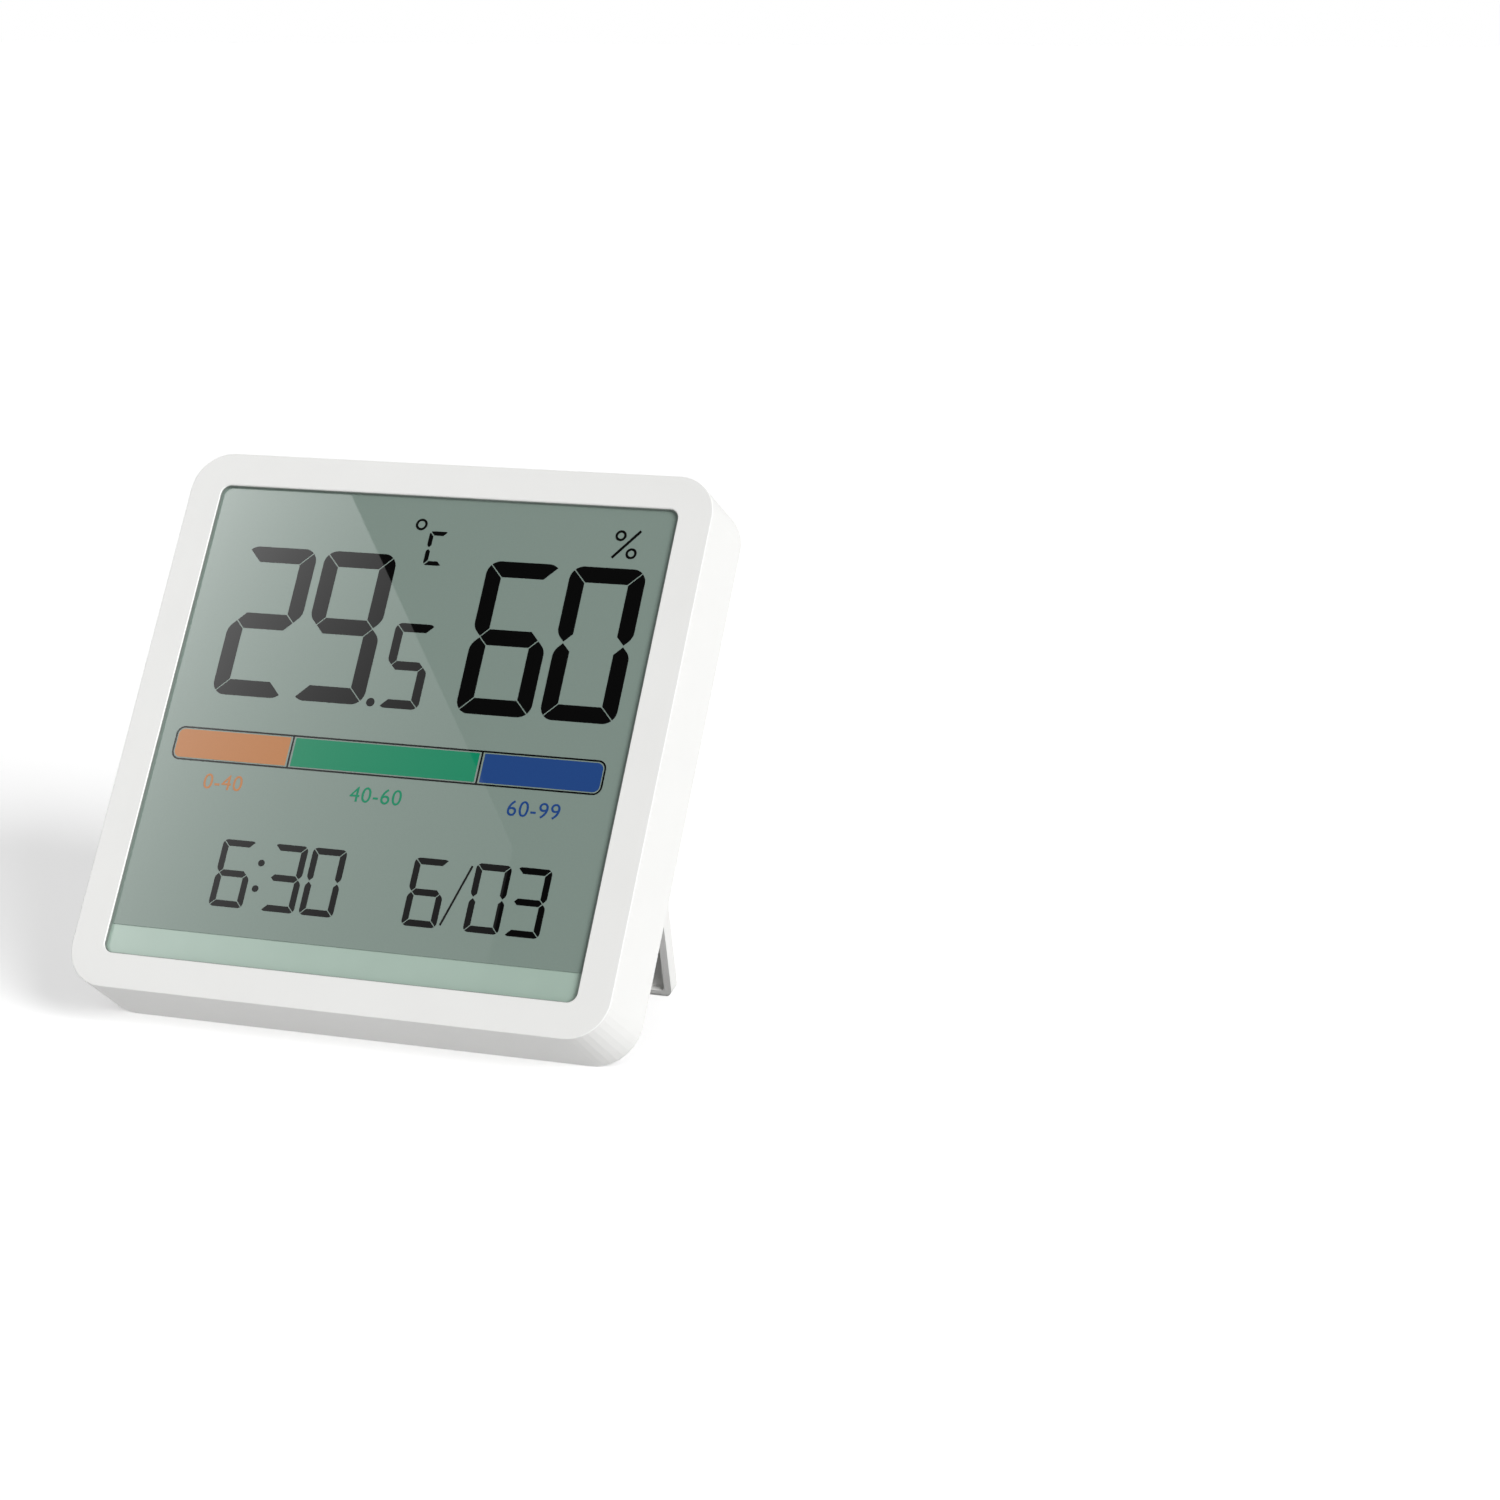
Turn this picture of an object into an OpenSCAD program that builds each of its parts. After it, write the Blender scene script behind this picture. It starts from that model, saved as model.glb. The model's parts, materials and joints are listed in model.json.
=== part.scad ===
// Square desk display for temperature and humidity, leaning on its folding stand.
// Shapes are drawn face down: x to the viewer's right, y up the face from the body's bottom, z the depth
// behind the front face. placed() then leans them back onto the table.

/* [Housing] */
// Width of the back outline
body_w = 84; // [78:0.5:100]
// Height of the back outline
body_h = 84; // [80:0.5:100]
// Depth from the front face to the body's outer back edge
body_d = 12; // [11.7:0.1:15]
// Corner radius of the back outline
corner_r = 6.5; // [5.5:0.1:9]
// Inset of the front outline on each side, which gives the sides their draft
draft = 0.5; // [0.2:0.05:1]
// Radius of the front edge
front_edge_r = 0.15; // [0.1:0.05:0.6]
// Radius of the back edge
back_edge_r = 0.35; // [0.1:0.05:0.6]
// Width of the back rim outside the parting line
rim_w = 1.75; // [1.2:0.05:2.5]
// Gap between the back rim and the rear cover
part_gap = 0.12; // [0.06:0.01:0.25]
// Width of the ledge inside the rim that carries the rear cover
ledge_w = 1.6; // [1:0.05:2]
// Thickness of the front wall
front_wall = 1.2; // [0.9:0.05:1.6]

/* [Window] */
// Width of the bezel
bezel_w = 5.1; // [4:0.05:8]
// Thickness of the lip that the bezel forms in front of the display
window_lip = 0.65; // [0.5:0.05:0.8]
// Corner radius of the window
window_r = 1.5; // [0.8:0.1:3]
// Bevel around the window's front edge
window_bevel = 0.1; // [0.05:0.01:0.3]
// Thickness of the dark gasket that lines the window
gasket_t = 0.1; // [0.08:0.01:0.4]
// Depth of the gasket's front edge behind the front face
gasket_set = 0.2; // [0.15:0.01:0.4]

/* [Display] */
// Overlap of the display glass behind the bezel
lcd_overlap = 0.9; // [0.6:0.05:1]
// Height of the pale strip below the polariser
strip_h = 4.4; // [2:0.05:8]
// Thickness of the front polariser
polariser_t = 0.15; // [0.1:0.01:0.4]
// Thickness of each glass
glass_t = 0.7; // [0.5:0.05:1.1]
// Thickness of the reflector behind the rear glass
reflector_t = 0.25; // [0.15:0.01:0.4]
// Height of the contact ledge that the rear glass leaves free
contact_ledge = 3; // [2.6:0.1:5]

/* [Display holder] */
// Gap between the holder and what it fits into or around
holder_gap = 0.15; // [0.05:0.01:0.3]
// Thickness of the lip behind the display
lip_t = 0.8; // [0.5:0.05:1.2]
// Width of the lip behind the display
lip_w = 3.7; // [3:0.1:6]
// Height of the posts that carry the circuit board
post_h = 1.5; // [1:0.1:3]
// Radius of these posts
post_r = 1.7; // [1.3:0.05:2.2]
// Inset of these posts from the edge of the display glass
post_inset = 3; // [2.4:0.1:5]
// Thickness of the elastomer connector, up the face
zebra_t = 2; // [1:0.1:2.4]
// Length of the elastomer connector
zebra_len = 62; // [40:1:63]

/* [Circuit board] */
// Thickness of the board
pcb_t = 1; // [0.6:0.1:1.6]
// Gap between the board's edge and the housing
pcb_gap = 0.85; // [0.4:0.05:2]
// Radius of the board screws' shanks
screw_r = 0.7; // [0.5:0.05:0.9]
// Radius of the board screws' heads
screw_head_r = 1.4; // [1.1:0.05:1.8]
// Height of the board screws' heads
screw_head_h = 0.9; // [0.5:0.05:1.2]
// Width of the cross recess in a screw's head
drive_w = 0.35; // [0.2:0.05:0.5]
// Reach of the board screws below the board
screw_reach = 1.9; // [1:0.1:2]
// Radial gap between a screw and its hole
screw_gap = 0.05; // [0.02:0.01:0.1]
// Side of the temperature and humidity sensor
sensor_w = 3; // [2:0.1:4]
// Height of the sensor
sensor_h = 1; // [0.6:0.1:1.4]
// Radius of the sensor's opening
sensor_port_r = 0.6; // [0.3:0.05:0.9]
// Distance of the controller to the left of the body's middle
blob_u = 10; // [8:0.5:14]
// Radius of the controller's potting
blob_r = 5; // [3:0.1:7]
// Height of the controller's potting
blob_h = 1.5; // [0.8:0.1:2.2]
// Distance of the clock crystal's near end to the right of the body's middle
crystal_u = 5; // [3:0.5:10]
// Radius of the clock crystal's can
crystal_r = 1; // [0.7:0.05:1.5]
// Length of the clock crystal's can
crystal_len = 6; // [4:0.1:8]
// Number of chip capacitors
chip_count = 5; // [1:1:7]
// Distance of the row of chip capacitors below the controller's middle
chip_drop = 10; // [8:0.5:11]
// Length of a chip capacitor
chip_len = 1.6; // [1:0.1:2]
// Width and height of a chip capacitor
chip_w = 0.8; // [0.5:0.05:1.2]
// Distance between neighbouring chip capacitors
chip_pitch = 2.4; // [1.6:0.1:4]

/* [Air slots] */
// Length of each slot, end to end
slot_len = 12; // [8:0.1:20]
// Width of each slot
slot_w = 1.55; // [1:0.05:2.2]
// Distance of the back slot's middle below the plateau's top edge
back_slot_drop = 1.6; // [1.55:0.05:3]
// Depth of the top slot's middle behind the front face
top_slot_d = 7.95; // [7.6:0.05:8.4]
// Thickness of the foam walls beside the sensor
baffle_t = 1.2; // [0.8:0.1:2]

/* [Rear cover] */
// Width of the slope from the body's outer back edge to the plateau
bevel_w = 5.8; // [5:0.05:6.5]
// Height of the slope from the body's outer back edge to the plateau
bevel_h = 3.6; // [3.4:0.05:4.5]
// Wall thickness of the cover
cover_wall = 1.6; // [1.2:0.05:2]
// Width of the cover's edge on the ledge
flange_w = 2.4; // [1.8:0.05:3]
// Thickness of the cover's edge below the body's outer back edge
flange_t = 1.6; // [1:0.05:2]
// Radius of the ribs that hold the board down
rib_r = 1.5; // [1:0.05:2]
// Distance of these ribs from the body's middle, up and down
rib_offset = 26; // [22:0.5:30]
// Width of a snap hook
hook_w = 6; // [4:0.1:9]
// Thickness of a snap hook
hook_t = 0.85; // [0.6:0.05:1]
// Reach of a snap hook below the cover's edge
hook_reach = 3; // [2:0.1:3.4]
// Height of a snap hook's catch
catch_h = 0.6; // [0.4:0.05:0.9]
// How far a catch reaches into the housing's wall
catch_depth = 0.5; // [0.3:0.05:0.7]
// Gap around a catch
catch_gap = 0.1; // [0.05:0.01:0.2]
// Distance of the hooks from the body's middle, left and right
hook_offset = 20; // [15:0.5:30]

/* [Pad marks] */
// Width of the pad area that the corner marks frame
pad_w = 37.2; // [25:0.1:50]
// Height of the pad area that the corner marks frame
pad_h = 24.2; // [15:0.1:26]
// Corner radius of the pad area
pad_r = 5; // [3:0.1:5.5]
// Distance of the pad area below the plateau's top edge
pad_drop = 5.4; // [4.5:0.1:7]
// Length of a mark along the width
mark_w = 7; // [6:0.1:10]
// Length of a mark along the height
mark_h = 6; // [5.6:0.1:7]
// Line width of the marks
mark_line = 0.4; // [0.2:0.05:0.8]
// Depth of the marks
mark_depth = 0.7; // [0.1:0.05:0.9]

/* [Stand] */
// Height of the hinge axis above the body's bottom
hinge_v = 42.3; // [40:0.1:44]
// Angle between the open stand and the plateau
stand_open = 47.5; // [40:0.5:55]
// Thickness of the stand
stand_t = 2.4; // [2:0.05:2.8]
// Strip of plateau left at each side of the stand
side_strip = 1.2; // [0.9:0.05:3]
// Strip of plateau left below the stand
bottom_strip = 1.05; // [0.8:0.05:3]
// Gap at each side of the stand
side_gap = 0.35; // [0.2:0.05:0.6]
// Gap below the closed stand
end_gap = 0.55; // [0.2:0.05:0.8]
// Gap behind the closed stand
floor_gap = 0.3; // [0.15:0.05:0.6]
// Gap around the stand's rolled hinge edge
knuckle_gap = 0.15; // [0.1:0.01:0.2]
// Corner radius of the stand's recess
recess_r = 1; // [0.5:0.1:1.4]
// Corner radius at the stand's foot
stand_corner_r = 1.4; // [1:0.1:3]
// Edge radius at the stand's foot
foot_edge_r = 0.6; // [0.2:0.05:0.8]
// Width of the rim around the stand's pocket
pocket_rim = 1.1; // [0.9:0.05:3]
// Depth of the pocket in the stand's inner face
pocket_d = 1.2; // [0.8:0.05:1.4]
// Corner radius of the pocket
pocket_r = 0.7; // [0.3:0.05:1.5]
// Distance of the pocket below the hinge axis
pocket_drop = 3.2; // [2:0.1:5]
// Width of the finger notch in the foot
notch_w = 18; // [10:0.5:24]
// Height of the finger notch in the foot
notch_h = 0.4; // [0.3:0.05:1]
// Radius of the hinge pins
pin_r = 0.5; // [0.4:0.05:0.7]
// Radial running gap of the hinge pins in the cover
pin_gap = 0.05; // [0.02:0.01:0.1]
// Length of a hinge pin inside the stand
pin_in_stand = 3.6; // [2:0.1:6]
// Length of a hinge pin inside the cover
pin_in_cover = 1.1; // [0.8:0.05:1.3]

/* [Battery] */
// Radius of the coin cell
cell_r = 10; // [9:0.1:10.5]
// Thickness of the coin cell
cell_t = 3.2; // [2:0.1:3.6]
// Rounding of the coin cell's can
cell_edge = 0.4; // [0.2:0.05:0.6]
// Gap between the coin cell and its holder
cell_gap = 0.2; // [0.1:0.05:0.4]
// Wall thickness of the cell holder
cell_wall = 1; // [0.8:0.05:1.4]
// Height of the coin cell's middle above the body's bottom
cell_v = 24.5; // [23:0.1:25.5]
// Gap between the coin cell and the closed door
cell_play = 0.15; // [0.05:0.05:0.3]
// Thickness of the contact strip
contact_t = 0.25; // [0.15:0.05:0.4]
// Radius of the negative contact at the board
spring_base_r = 5; // [3:0.1:7]
// Radius of the negative contact at the coin cell
spring_top_r = 2.5; // [1.5:0.1:5]
// Width of the positive contact
contact_w = 4; // [2:0.1:6]
// Gap between the positive contact and the coin cell
contact_gap = 0.05; // [0.02:0.01:0.1]
// Radius of the battery door
door_r = 12; // [11.6:0.1:12.6]
// Radial gap around the battery door
door_gap = 0.1; // [0.05:0.01:0.2]
// Thickness of the door's locking lugs
lug_t = 0.8; // [0.6:0.05:1]
// How far the lugs reach past the door
lug_reach = 1.5; // [1:0.1:2]
// Angle that each lug spans
lug_angle = 28; // [16:1:40]
// Turn between locked and open
door_turn = 45; // [42:1:90]
// Play below the lugs and around them in their entry notches
lug_gap = 0.15; // [0.1:0.01:0.3]
// Angle by which an entry notch is wider than its lug at each side
notch_play = 1; // [0.5:0.5:3]
// Length of the coin slot in the door
coin_slot_len = 15; // [8:0.5:19]
// Width of the coin slot in the door
coin_slot_w = 1.8; // [1.2:0.1:2.6]
// Depth of the coin slot in the door
coin_slot_d = 1.1; // [0.6:0.1:1.4]

/* [Buttons] */
// Distance of the buttons from the body's middle
button_u = 24.5; // [20:0.1:28]
// Distance between neighbouring buttons
button_pitch = 9; // [7:0.1:11]
// Radius of a button
button_r = 2.25; // [1.6:0.05:2.8]
// Radial gap around a button
button_gap = 0.1; // [0.05:0.01:0.2]
// How far a button stands out of the recess floor
button_proud = 0.8; // [0.4:0.05:1]
// Depth of the finger dish in a button
button_dish = 0.25; // [0.1:0.05:0.35]
// Width of the flat rim around the finger dish
dish_rim = 0.3; // [0.1:0.05:0.6]
// Width of the flange that keeps a button in
flange_reach = 0.6; // [0.4:0.05:1]
// Thickness of this flange
button_flange_t = 0.6; // [0.4:0.05:0.7]
// Play above the flange
flange_play = 0.1; // [0.05:0.01:0.2]
// Travel of a button
button_travel = 0.4; // [0.2:0.05:0.5]
// Radius of a button's stem
stem_r = 1.5; // [1:0.05:2]
// Side of a switch body
switch_w = 4.5; // [3.5:0.1:6]
// Height of a switch body
switch_h = 3; // [2:0.1:3.2]
// Radius of a switch plunger
plunger_r = 1.2; // [0.8:0.05:1.5]
// Radial gap around a switch plunger
plunger_gap = 0.05; // [0.02:0.01:0.1]
// How far a plunger stands out of its switch
plunger_rise = 0.9; // [0.6:0.05:1]
// Length of a plunger inside its switch
plunger_seat = 0.8; // [0.5:0.05:1]

/* [Hidden] */

// Overshoot of cuts past a face
cut = 1;
// Thickness of the thin plates between which a bevel is drawn
sliver = 0.01;
// Facets of a hull's corners and of round cuts and pins
hull_fn = 40;
round_fn = 64;
// Segments in a quarter round
arc_steps = 5;

// Body
mid_v = body_h / 2;
cover_inset = rim_w + part_gap;
cover_w = body_w - 2 * cover_inset;
cover_h = body_h - 2 * cover_inset;
cover_r = corner_r - cover_inset;
cavity_inset = rim_w + ledge_w;
cavity_w = body_w - 2 * cavity_inset;
cavity_h = body_h - 2 * cavity_inset;
cavity_r = corner_r - cavity_inset;
ledge_d = body_d - flange_t;
back_d = body_d + bevel_h;
// Angle of the back slope, and its depth at the cover's edge
slope_a = atan2(bevel_h, bevel_w);
cover_edge_d = body_d + cover_inset * bevel_h / bevel_w;

// Window and display, in depth order
window_base = draft + bezel_w;
window_w = body_w - 2 * window_base;
window_h = body_h - 2 * window_base;
lcd_w = window_w + 2 * lcd_overlap;
lcd_h = window_h + 2 * lcd_overlap;
lcd_base = window_base - lcd_overlap;
lcd_top = lcd_base + lcd_h;
front_glass_d = window_lip + polariser_t;
rear_glass_d = front_glass_d + glass_t;
reflector_d = rear_glass_d + glass_t;
lip_d = reflector_d + reflector_t;
post_d = lip_d + lip_t;
pcb_d = post_d + post_h;
pcb_back = pcb_d + pcb_t;
post_u = lcd_w / 2 - post_inset;
post_v = lcd_h / 2 - post_inset;
zebra_v = lcd_base + contact_ledge / 2;
pcb_w = cavity_w - 2 * pcb_gap;
pcb_h = cavity_h - 2 * pcb_gap;
pcb_r = cavity_r - pcb_gap;

// Rear cover, recess and hinge
plateau_w = body_w - 2 * bevel_w;
plateau_base = bevel_w;
plateau_top = body_h - bevel_w;
cover_in_d = back_d - cover_wall;
bevel_slant = sqrt(bevel_w * bevel_w + bevel_h * bevel_h);
// Inset of the slope's inner face from its outer face, across and at the cover's inner ceiling
bevel_shift = cover_wall * bevel_slant / bevel_h;
ceiling_inset = bevel_w * (cover_in_d - body_d) / bevel_h + bevel_shift;
skirt_inset = cover_inset + flange_w;
// Depth at which the inner skirt turns into the inner slope
skirt_d = cover_in_d - (ceiling_inset - skirt_inset) * bevel_h / bevel_w;
// Corner radius of the cover's inner ceiling
ceiling_r = 0.4;
recess_d = back_d - stand_t - floor_gap;
recess_w = plateau_w - 2 * side_strip;
recess_base = plateau_base + bottom_strip;
tub_d = recess_d - cover_wall;
hinge_d = back_d - stand_t / 2;
trough_r = stand_t / 2 + knuckle_gap;
stand_w = recess_w - 2 * side_gap;
stand_len = hinge_v - recess_base - end_gap;
notch_r = (notch_w * notch_w / 4 + notch_h * notch_h) / (2 * notch_h);
pad_v = plateau_top - pad_drop - pad_h / 2;
back_slot_v = plateau_top - back_slot_drop;

// Snap hooks
hook_end_d = ledge_d - hook_reach;
hook_out = cavity_h / 2 - catch_gap;

// Battery and buttons
lug_top_d = tub_d - lug_gap;
door_in_d = lug_top_d - lug_t;
cell_top_d = door_in_d - cell_play;
cell_base_d = cell_top_d - cell_t;
holder_r = cell_r + cell_gap;
plunger_top_d = pcb_back + switch_h + plunger_rise;
button_top_d = recess_d + button_proud;
flange_top_d = tub_d - flange_play;
BUTTON_V = [cell_v + button_pitch, cell_v, cell_v - button_pitch];

// Lean that puts the back bottom edge and the foot of the open stand on the table
foot_a = stand_len - foot_edge_r;
foot_b = stand_t / 2 - foot_edge_r;
foot_v = hinge_v - foot_a * cos(stand_open) - foot_b * sin(stand_open);
foot_d = hinge_d + foot_a * sin(stand_open) - foot_b * cos(stand_open);
base_v = back_edge_r;
base_d = body_d - back_edge_r * tan(45 - slope_a / 2);
foot_span = norm([foot_v - base_v, foot_d - base_d]);
lean = atan2(foot_v - base_v, foot_d - base_d) - asin((foot_edge_r - back_edge_r) / foot_span);
table_lift = base_d * sin(lean) - base_v * cos(lean) + back_edge_r;
front_reach = (draft + front_edge_r) * sin(lean) + front_edge_r * cos(lean) - front_edge_r;
rim_reach = (body_h - base_v) * sin(lean) + base_d * cos(lean) + back_edge_r;
plateau_reach = plateau_top * sin(lean) + back_d * cos(lean);
mid_reach = (front_reach + max(rim_reach, plateau_reach)) / 2;

// Stands a face-down shape on the table, leaning back
module placed() {
    translate([0, -mid_reach, table_lift])
        rotate([-lean, 0, 0])
            mirror([0, 1, 0])
                rotate([90, 0, 0])
                    children();
}

// Flat rectangle with round corners, about its middle
module rounded_rect(w, h, r) {
    square([w - 2 * r, h], center = true);
    square([w, h - 2 * r], center = true);
    for (sx = [-1, 1], sy = [-1, 1])
        translate([sx * (w / 2 - r), sy * (h / 2 - r)])
            circle(r, $fn = round_fn);
}

// Plate with round corners from depth d0 to depth d1, its middle at height v
module plate(w, h, r, v, d0, d1) {
    translate([0, v, d0])
        linear_extrude(d1 - d0)
            rounded_rect(w, h, r);
}

// Copies of a corner piece at the corners of a rectangle about the body's middle
module at_corners(w, h) {
    for (sx = [-1, 1], sy = [-1, 1])
        translate([sx * w / 2, mid_v + sy * h / 2, 0])
            children();
}

// Flat slot with round ends along x
module slot_2d(len, w) {
    square([len - w, w], center = true);
    for (s = [-1, 1])
        translate([s * (len - w) / 2, 0])
            circle(w / 2, $fn = round_fn);
}

// Points of a round from angle a0 to angle a1
function arc(c, r, a0, a1) =
    [for (i = [0 : arc_steps]) let (a = a0 + (a1 - a0) * i / arc_steps) c + r * [cos(a), sin(a)]];

// Outside of the housing: its drafted corner turned about each corner's middle
module housing_outside() {
    front_r = corner_r - draft;
    profile = concat(
        [[0, 0]],
        arc([front_r - front_edge_r, front_edge_r], front_edge_r, -90, 0),
        arc([corner_r - back_edge_r, base_d], back_edge_r, 0, 90 - slope_a),
        [[cover_r, cover_edge_d], [0, cover_edge_d]]);
    hull()
        at_corners(body_w - 2 * corner_r, body_h - 2 * corner_r)
            rotate_extrude($fn = hull_fn)
                polygon(profile);
}

// Bevel around the window, wider towards the front
module window_bevel_cut() {
    flare = 2 * window_bevel;
    hull() {
        plate(window_w, window_h, window_r, mid_v, window_bevel, window_bevel + sliver);
        plate(window_w + flare, window_h + flare, window_r + window_bevel, mid_v, -sliver, 0);
    }
}

// Copies of a shape at the cover's four snap hooks, upside down at the bottom
module at_hooks() {
    for (sx = [-1, 1])
        translate([sx * hook_offset, mid_v, 0]) {
            children();
            mirror([0, 1, 0])
                children();
        }
}

// Space that takes the display, from depth d0 to depth d1
module display_seat(d0, d1) {
    translate([-lcd_w / 2 - holder_gap, lcd_base - holder_gap, d0])
        cube([lcd_w + 2 * holder_gap, lcd_h + 2 * holder_gap, d1 - d0]);
}

// Catch of the hook at the top, grown by a gap for the notch that takes it
module hook_catch(gap) {
    translate([-hook_w / 2 - gap, hook_out - hook_t, hook_end_d - gap])
        cube([hook_w + 2 * gap, hook_t + catch_depth + gap, catch_h + 2 * gap]);
}

module front_housing() {
    color("whitesmoke")
        placed()
            difference() {
                housing_outside();
                plate(cavity_w, cavity_h, cavity_r, mid_v, front_wall, body_d + cut);
                plate(body_w - 2 * rim_w, body_h - 2 * rim_w, corner_r - rim_w, mid_v, ledge_d,
                    cover_edge_d + cut);
                plate(window_w, window_h, window_r, mid_v, -cut, front_wall + cut);
                window_bevel_cut();
                display_seat(window_lip, front_wall + cut);
                at_hooks()
                    hook_catch(catch_gap);
                translate([0, body_h + cut, top_slot_d])
                    rotate([90, 0, 0])
                        linear_extrude(cavity_inset + 2 * cut)
                            slot_2d(slot_len, slot_w);
            }
}

module window_gasket() {
    color("dimgray")
        placed()
            difference() {
                plate(window_w, window_h, window_r, mid_v, gasket_set, window_lip);
                plate(window_w - 2 * gasket_t, window_h - 2 * gasket_t, window_r - gasket_t, mid_v,
                    gasket_set - cut, window_lip + cut);
            }
}

// Display layer between two heights, as wide as the glass
module display_layer(v0, v1, d0, d1) {
    translate([-lcd_w / 2, v0, d0])
        cube([lcd_w, v1 - v0, d1 - d0]);
}

module lcd_front_polariser() {
    color("darkseagreen")
        placed()
            display_layer(window_base + strip_h, lcd_top, window_lip, front_glass_d);
}

module lcd_front_glass() {
    color("lightcyan")
        placed()
            display_layer(lcd_base, lcd_top, front_glass_d, rear_glass_d);
}

module lcd_rear_glass() {
    color("lightcyan")
        placed()
            display_layer(lcd_base + contact_ledge, lcd_top, rear_glass_d, reflector_d);
}

module lcd_reflector() {
    color("silver")
        placed()
            display_layer(lcd_base + contact_ledge, lcd_top, reflector_d, lip_d);
}

// Frame around the display, with a lip behind it, a slot for the connector and posts for the board
module lcd_holder() {
    color("gainsboro")
        placed()
            difference() {
                union() {
                    difference() {
                        plate(cavity_w - 2 * holder_gap, cavity_h - 2 * holder_gap, cavity_r - holder_gap,
                            mid_v, front_wall, post_d);
                        display_seat(front_wall - cut, lip_d);
                        translate([-lcd_w / 2 + lip_w, lcd_base + contact_ledge + lip_w, front_wall])
                            cube([lcd_w - 2 * lip_w, lcd_h - contact_ledge - 2 * lip_w, post_d]);
                    }
                    at_corners(2 * post_u, 2 * post_v)
                        translate([0, 0, lip_d])
                            cylinder(h = pcb_d - lip_d, r = post_r, $fn = round_fn);
                }
                at_corners(2 * post_u, 2 * post_v)
                    translate([0, 0, pcb_d - screw_reach - screw_gap])
                        cylinder(h = screw_reach + cut, r = screw_r + screw_gap, $fn = round_fn);
                translate([-zebra_len / 2 - holder_gap, zebra_v - zebra_t / 2 - holder_gap, front_wall])
                    cube([zebra_len + 2 * holder_gap, zebra_t + 2 * holder_gap, pcb_d]);
            }
}

module zebra_connector() {
    color("slategray")
        placed()
            translate([-zebra_len / 2, zebra_v - zebra_t / 2, rear_glass_d])
                cube([zebra_len, zebra_t, pcb_d - rear_glass_d]);
}

module main_pcb() {
    color("seagreen")
        placed()
            difference() {
                plate(pcb_w, pcb_h, pcb_r, mid_v, pcb_d, pcb_back);
                at_corners(2 * post_u, 2 * post_v)
                    translate([0, 0, pcb_d - cut])
                        cylinder(h = pcb_t + 2 * cut, r = screw_r + screw_gap, $fn = round_fn);
            }
}

module pcb_screws() {
    color("silver")
        placed()
            at_corners(2 * post_u, 2 * post_v)
                translate([0, 0, pcb_d - screw_reach])
                    union() {
                        cylinder(h = screw_reach + pcb_t, r = screw_r, $fn = round_fn);
                        translate([0, 0, screw_reach + pcb_t])
                            difference() {
                                cylinder(h = screw_head_h, r = screw_head_r, $fn = round_fn);
                                for (a = [0, 90])
                                    rotate([0, 0, a])
                                        translate([-screw_r, -drive_w / 2, screw_head_h / 2])
                                            cube([2 * screw_r, drive_w, screw_head_h]);
                            }
                    }
}

// Sensor with its open port, behind the air slots
module sensor_chip() {
    color("dimgray")
        placed()
            translate([0, back_slot_v, pcb_back])
                difference() {
                    translate([-sensor_w / 2, -sensor_w / 2, 0])
                        cube([sensor_w, sensor_w, sensor_h]);
                    translate([0, 0, sensor_h / 2])
                        cylinder(h = sensor_h, r = sensor_port_r, $fn = round_fn);
                }
}

// Foam walls below and beside the sensor, open towards the top slot
module sensor_baffle() {
    inner_w = slot_len + baffle_t;
    floor_v = back_slot_v - max(slot_w, sensor_w) / 2 - baffle_t / 2;
    wall_h = body_h - ceiling_inset - floor_v - part_gap;
    color("darkgray")
        placed()
            difference() {
                translate([-inner_w / 2 - baffle_t, floor_v - baffle_t, pcb_back])
                    cube([inner_w + 2 * baffle_t, wall_h + baffle_t, cover_in_d - pcb_back]);
                translate([-inner_w / 2, floor_v, pcb_back - cut])
                    cube([inner_w, wall_h + cut, cover_in_d - pcb_back + 2 * cut]);
            }
}

module controller_blob() {
    // Radius of the sphere whose cap is blob_h high and blob_r wide
    dome_r = (blob_r * blob_r + blob_h * blob_h) / (2 * blob_h);
    cap = concat([[0, 0]], arc([0, blob_h - dome_r], dome_r, 90 - asin(blob_r / dome_r), 90));
    color("darkslategray")
        placed()
            translate([-blob_u, pad_v, pcb_back])
                rotate_extrude($fn = round_fn)
                    polygon(cap);
}

module clock_crystal() {
    color("silver")
        placed()
            translate([crystal_u, pad_v, pcb_back + crystal_r])
                rotate([0, 90, 0])
                    cylinder(h = crystal_len, r = crystal_r, $fn = round_fn);
}

module chip_capacitors() {
    color("tan")
        placed()
            translate([-((chip_count - 1) * chip_pitch + chip_len) / 2, pad_v - chip_drop, pcb_back])
                for (i = [0 : chip_count - 1])
                    translate([i * chip_pitch, 0, 0])
                        cube([chip_len, chip_w, chip_w]);
}

module switch_bodies() {
    color("black")
        placed()
            for (v = BUTTON_V)
                translate([button_u, v, pcb_back])
                    difference() {
                        translate([-switch_w / 2, -switch_w / 2, 0])
                            cube([switch_w, switch_w, switch_h]);
                        translate([0, 0, switch_h - plunger_seat - 2 * button_travel])
                            cylinder(h = switch_h, r = plunger_r + plunger_gap, $fn = round_fn);
                    }
}

module plunger(v) {
    color("dimgray")
        placed()
            translate([button_u, v, plunger_top_d - plunger_rise - plunger_seat])
                cylinder(h = plunger_rise + plunger_seat, r = plunger_r, $fn = round_fn);
}

module set_plunger() { plunger(BUTTON_V[0]); }
module up_plunger() { plunger(BUTTON_V[1]); }
module down_plunger() { plunger(BUTTON_V[2]); }

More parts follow.
